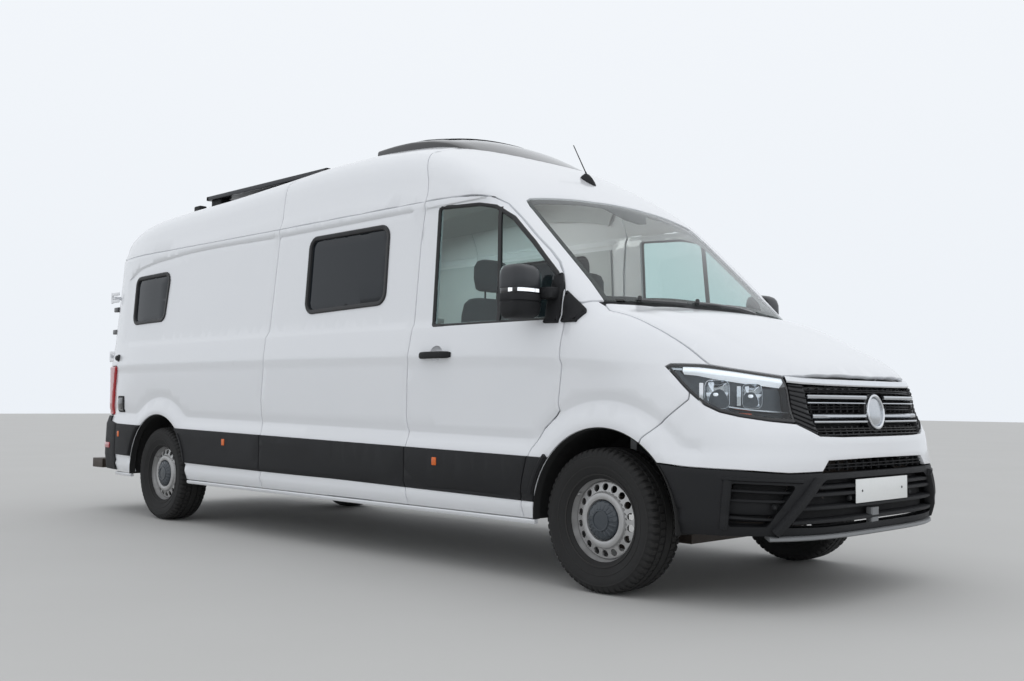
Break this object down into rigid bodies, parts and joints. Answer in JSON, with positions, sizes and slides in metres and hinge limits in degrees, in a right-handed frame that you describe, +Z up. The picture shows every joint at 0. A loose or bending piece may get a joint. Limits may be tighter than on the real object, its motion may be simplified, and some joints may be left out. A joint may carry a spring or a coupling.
{
  "type": "camper van",
  "caption": "High-roof long-wheelbase camper van with hinged cab and rear doors, lifting bonnet, steered front wheels, side windows and a fitted living space.",
  "frame": {"origin": "on the ground under the middle of the overall bounding box", "axes": "+X forward, +Y to the vehicle's left, +Z up"},
  "size_m": [6.795, 2.427, 2.6549],
  "materials": {
    "white_paint": "gloss",
    "black_plastic": "textured",
    "clear_glass": "gloss",
    "tinted_glass": "gloss",
    "lamp_lens": "gloss",
    "red_lens": "gloss",
    "tyre_rubber": "matt",
    "wheel_steel": "satin",
    "dark_steel": "matt",
    "floor_metal": "satin",
    "tank_plastic": "matt",
    "seat_fabric": "woven",
    "cabinet_wood": "satin",
    "solar_glass": "gloss",
    "plate_white": "gloss"
  },
  "bodies": {
    "chassis": {"bed": "seat_fabric", "bumper_lower": "black_plastic", "bumper_painted": "white_paint", "cab_seats": "seat_fabric", "cross_members": "dark_steel", "dashboard": "black_plastic", "engine": "dark_steel", "floor": "floor_metal", "frame_rails": "dark_steel", "front_subframe": "dark_steel", "front_wings": "white_paint", "fuel_tank": "tank_plastic", "grille": "black_plastic", "headlamps": "lamp_lens", "kitchen_unit": "cabinet_wood", "number_plate": "plate_white", "rear_axle": "dark_steel", "rear_bumper": "black_plastic", "rear_frame": "white_paint", "rear_step": "dark_steel", "roof_front": "white_paint", "roof_light": "black_plastic", "roof_rear": "white_paint", "scuttle": "black_plastic", "side_left_rear": "white_paint", "side_mouldings": "black_plastic", "side_right_mid": "white_paint", "side_right_rear": "white_paint", "side_windows": "tinted_glass", "sliding_door": "white_paint", "solar_panel": "solar_glass", "steering_wheel": "black_plastic", "tail_lamps": "red_lens", "windscreen": "clear_glass", "windscreen_pillars": "white_paint"},
    "door_right": {"door_right": "white_paint", "door_glass_right": "clear_glass", "mirror_right": "black_plastic"},
    "door_left": {"door_left": "white_paint", "door_glass_left": "clear_glass", "mirror_left": "black_plastic"},
    "rear_door_right": {"rear_door_right": "white_paint", "rear_glass_right": "tinted_glass"},
    "rear_door_left": {"rear_door_left": "white_paint", "rear_glass_left": "tinted_glass"},
    "bonnet": {"bonnet": "white_paint"},
    "knuckle_fl": {"knuckle_fl": "dark_steel"},
    "knuckle_fr": {"knuckle_fr": "dark_steel"},
    "wheel_fl": {"tyre_fl": "tyre_rubber", "rim_fl": "wheel_steel"},
    "wheel_fr": {"tyre_fr": "tyre_rubber", "rim_fr": "wheel_steel"},
    "wheel_rl": {"tyre_rl": "tyre_rubber", "rim_rl": "wheel_steel"},
    "wheel_rr": {"tyre_rr": "tyre_rubber", "rim_rr": "wheel_steel"}
  },
  "joints": [
    {"name": "door_right_hinge", "type": "hinge", "parent": "chassis", "child": "door_right", "pos_m": [2.1315, -0.982, 1.2], "axis": [0, 0, 1], "range_deg": [0, 68]},
    {"name": "door_left_hinge", "type": "hinge", "parent": "chassis", "child": "door_left", "pos_m": [2.1315, 0.982, 1.2], "axis": [0, 0, -1], "range_deg": [0, 68]},
    {"name": "rear_door_right_hinge", "type": "hinge", "parent": "chassis", "child": "rear_door_right", "pos_m": [-3.1635, -0.896, 1.29], "axis": [0, 0, 1], "range_deg": [0, 180]},
    {"name": "rear_door_left_hinge", "type": "hinge", "parent": "chassis", "child": "rear_door_left", "pos_m": [-3.1635, 0.896, 1.29], "axis": [0, 0, -1], "range_deg": [0, 180]},
    {"name": "bonnet_hinge", "type": "hinge", "parent": "chassis", "child": "bonnet", "pos_m": [2.5075, 0, 1.372], "axis": [0, -1, 0], "range_deg": [0, 50]},
    {"name": "steer_fr", "type": "hinge", "parent": "chassis", "child": "knuckle_fr", "pos_m": [2.4025, -0.775, 0.356], "axis": [0, 0, 1], "range_deg": [-35, 35]},
    {"name": "steer_fl", "type": "hinge", "parent": "chassis", "child": "knuckle_fl", "pos_m": [2.4025, 0.775, 0.356], "axis": [0, 0, 1], "range_deg": [-35, 35]},
    {"name": "spin_fr", "type": "hinge", "parent": "knuckle_fr", "child": "wheel_fr", "pos_m": [2.4025, -0.859, 0.356], "axis": [0, 1, 0], "continuous": true},
    {"name": "spin_fl", "type": "hinge", "parent": "knuckle_fl", "child": "wheel_fl", "pos_m": [2.4025, 0.859, 0.356], "axis": [0, 1, 0], "continuous": true},
    {"name": "spin_rr", "type": "hinge", "parent": "chassis", "child": "wheel_rr", "pos_m": [-2.0875, -0.859, 0.356], "axis": [0, 1, 0], "continuous": true},
    {"name": "spin_rl", "type": "hinge", "parent": "chassis", "child": "wheel_rl", "pos_m": [-2.0875, 0.859, 0.356], "axis": [0, 1, 0], "continuous": true}
  ],
  "couplings": [
    {"joint": "steer_fl", "follows": "steer_fr", "ratio": 1}
  ]
}
